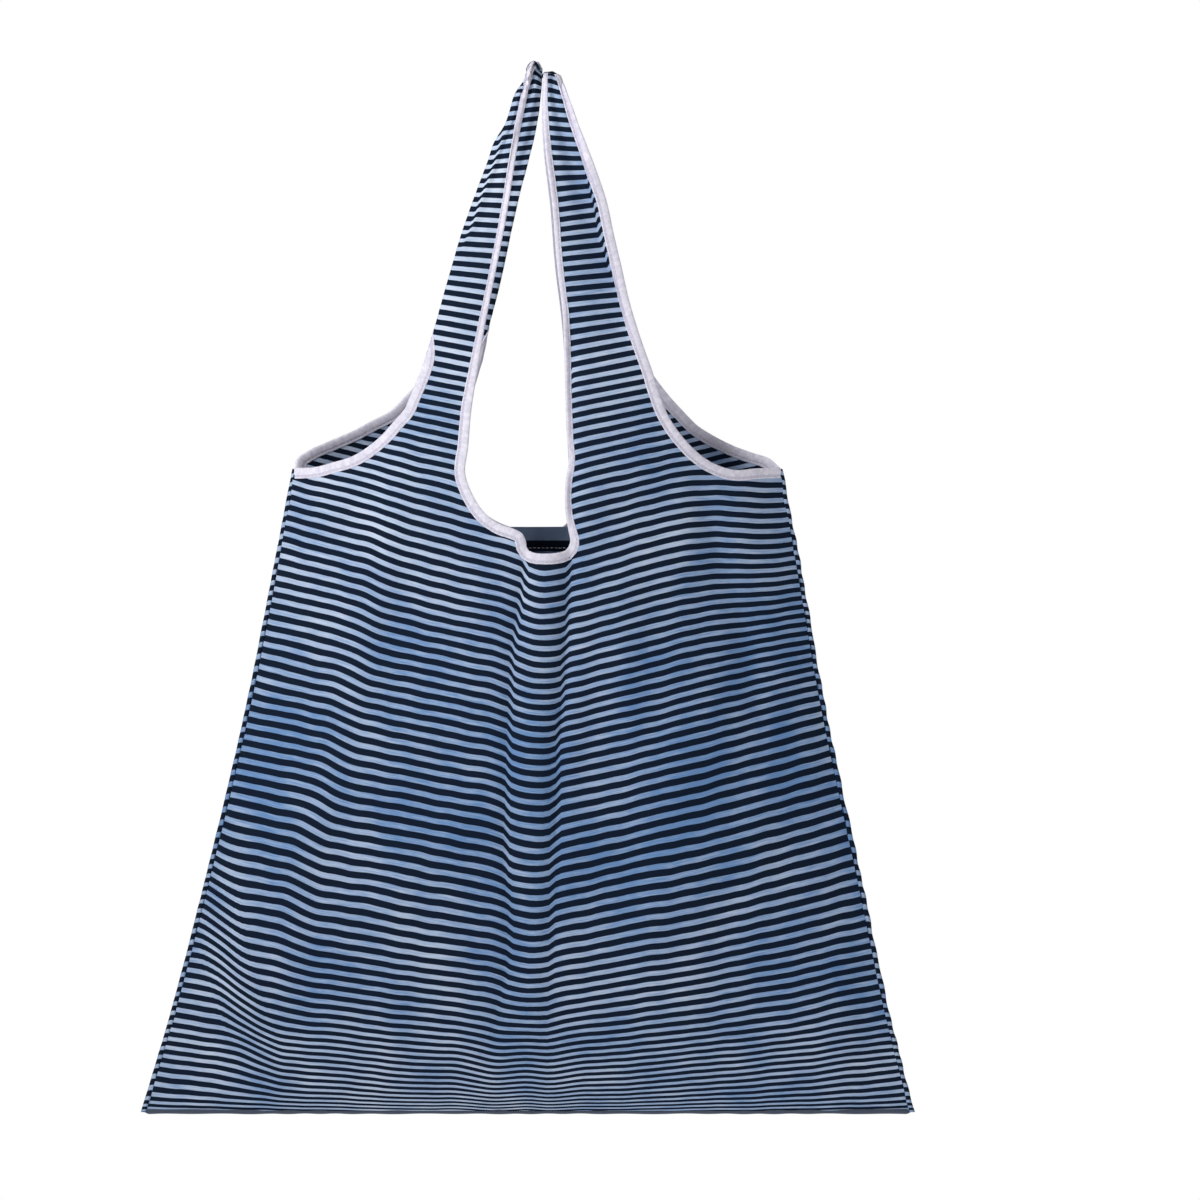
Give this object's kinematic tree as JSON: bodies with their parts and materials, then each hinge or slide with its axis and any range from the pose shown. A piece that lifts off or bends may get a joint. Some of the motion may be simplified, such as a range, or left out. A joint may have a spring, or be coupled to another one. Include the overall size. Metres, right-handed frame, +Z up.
{
  "type": "foldable tote bag",
  "caption": "Foldable striped shopping tote with a vest-shaped outline, gathered handles, bound edges and an inner storage pouch with a ribbon loop.",
  "frame": {"origin": "the flat underside of the left handle's shoulder seam, where a hook or rail holds the bag", "axes": "+Z up along the hanging bag, -Y out of its front, +X to the right seen from the front"},
  "size_m": [0.5002, 0.121, 0.6845],
  "materials": {
    "striped_cloth": "thin plain-weave polyester with navy and light blue stripes",
    "pouch_cloth": "the same striped cloth",
    "binding_tape": "folded off-white bias tape, stitched",
    "seam_thread": "overlocked seam allowance",
    "black_ribbon": "woven black ribbon"
  },
  "bodies": {
    "bag": {"front_panel": "striped_cloth", "back_panel": "striped_cloth", "left_side_seam": "striped_cloth", "right_side_seam": "striped_cloth", "bottom_seam": "seam_thread", "front_neck_binding": "binding_tape", "back_neck_binding": "binding_tape", "front_left_armhole_binding": "binding_tape", "front_right_armhole_binding": "binding_tape", "back_left_armhole_binding": "binding_tape", "back_right_armhole_binding": "binding_tape", "pouch_attachment_seam": "seam_thread"},
    "left_handle": {"front_left_strap": "striped_cloth", "back_left_strap": "striped_cloth", "front_left_outer_binding": "binding_tape", "front_left_inner_binding": "binding_tape", "back_left_outer_binding": "binding_tape", "back_left_inner_binding": "binding_tape", "left_shoulder_seam": "binding_tape"},
    "right_handle": {"front_right_strap": "striped_cloth", "back_right_strap": "striped_cloth", "front_right_outer_binding": "binding_tape", "front_right_inner_binding": "binding_tape", "back_right_outer_binding": "binding_tape", "back_right_inner_binding": "binding_tape", "right_shoulder_seam": "binding_tape"},
    "pouch": {"pouch_back_wall": "pouch_cloth", "pouch_front_wall": "pouch_cloth", "pouch_mouth_hem": "pouch_cloth", "pouch_edge_seam": "seam_thread"},
    "loop": {"hanging_loop": "black_ribbon"}
  },
  "joints": [
    {"name": "left_handle_spread", "type": "hinge", "parent": "bag", "child": "left_handle", "pos_m": [-0.0595, 0, -0.2], "axis": [0, -1, 0], "range_deg": [0, 35]},
    {"name": "right_handle_spread", "type": "hinge", "parent": "bag", "child": "right_handle", "pos_m": [0.0455, 0, -0.2], "axis": [0, 1, 0], "range_deg": [0, 30]},
    {"name": "pouch_swing", "type": "hinge", "parent": "bag", "child": "pouch", "pos_m": [-0.013, 0.0522, -0.3], "axis": [-1, 0, 0], "range_deg": [0, 28]},
    {"name": "loop_swing", "type": "hinge", "parent": "pouch", "child": "loop", "pos_m": [0.055, 0.0312, -0.3035], "axis": [-1, 0, 0], "range_deg": [0, 105]}
  ]
}
